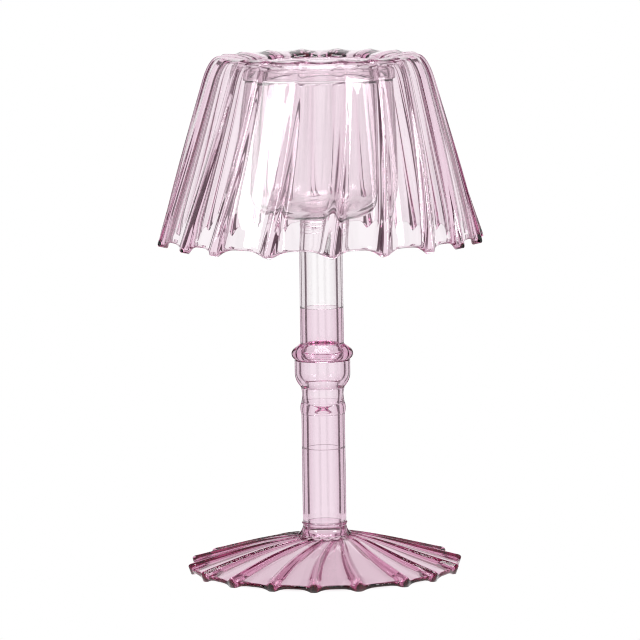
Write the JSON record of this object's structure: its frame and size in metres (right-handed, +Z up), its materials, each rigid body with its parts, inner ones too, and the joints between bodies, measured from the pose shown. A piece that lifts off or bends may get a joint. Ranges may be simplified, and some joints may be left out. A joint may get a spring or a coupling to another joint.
{
  "type": "tea light holder",
  "caption": "Tinted glass tea light holder shaped like a table lamp: swirl-ribbed domed foot, tube stem with a turned knop, round candle cup inside a ribbed conical shade.",
  "frame": {"origin": "on the table, under the middle of the foot", "axes": "+Z up along the stem, -Y towards the front"},
  "size_m": [0.1286, 0.1296, 0.2042],
  "materials": {
    "rose_glass_foot": "hand-worked borosilicate glass, fire-polished",
    "rose_glass_weld": "hand-worked borosilicate glass, fire-polished",
    "rose_glass_tube": "hand-worked borosilicate glass, fire-polished",
    "pale_glass_tube": "hand-worked borosilicate glass, fire-polished",
    "pale_glass_cup": "hand-worked borosilicate glass, fire-polished",
    "rose_glass_shade": "hand-worked borosilicate glass, fire-polished"
  },
  "bodies": {
    "root": {"foot": "rose_glass_foot", "foot_collar": "rose_glass_weld", "lower_stem": "rose_glass_tube", "stem_spacer": "rose_glass_tube", "stem_bead": "rose_glass_weld", "knop_neck": "rose_glass_tube", "knop_bowl": "rose_glass_tube", "knop_ring": "rose_glass_weld", "knop_tube": "rose_glass_tube", "upper_stem": "pale_glass_tube", "cup_neck": "rose_glass_weld", "candle_cup": "pale_glass_cup", "rim_ring": "pale_glass_cup", "shade": "rose_glass_shade"}
  },
  "joints": []
}
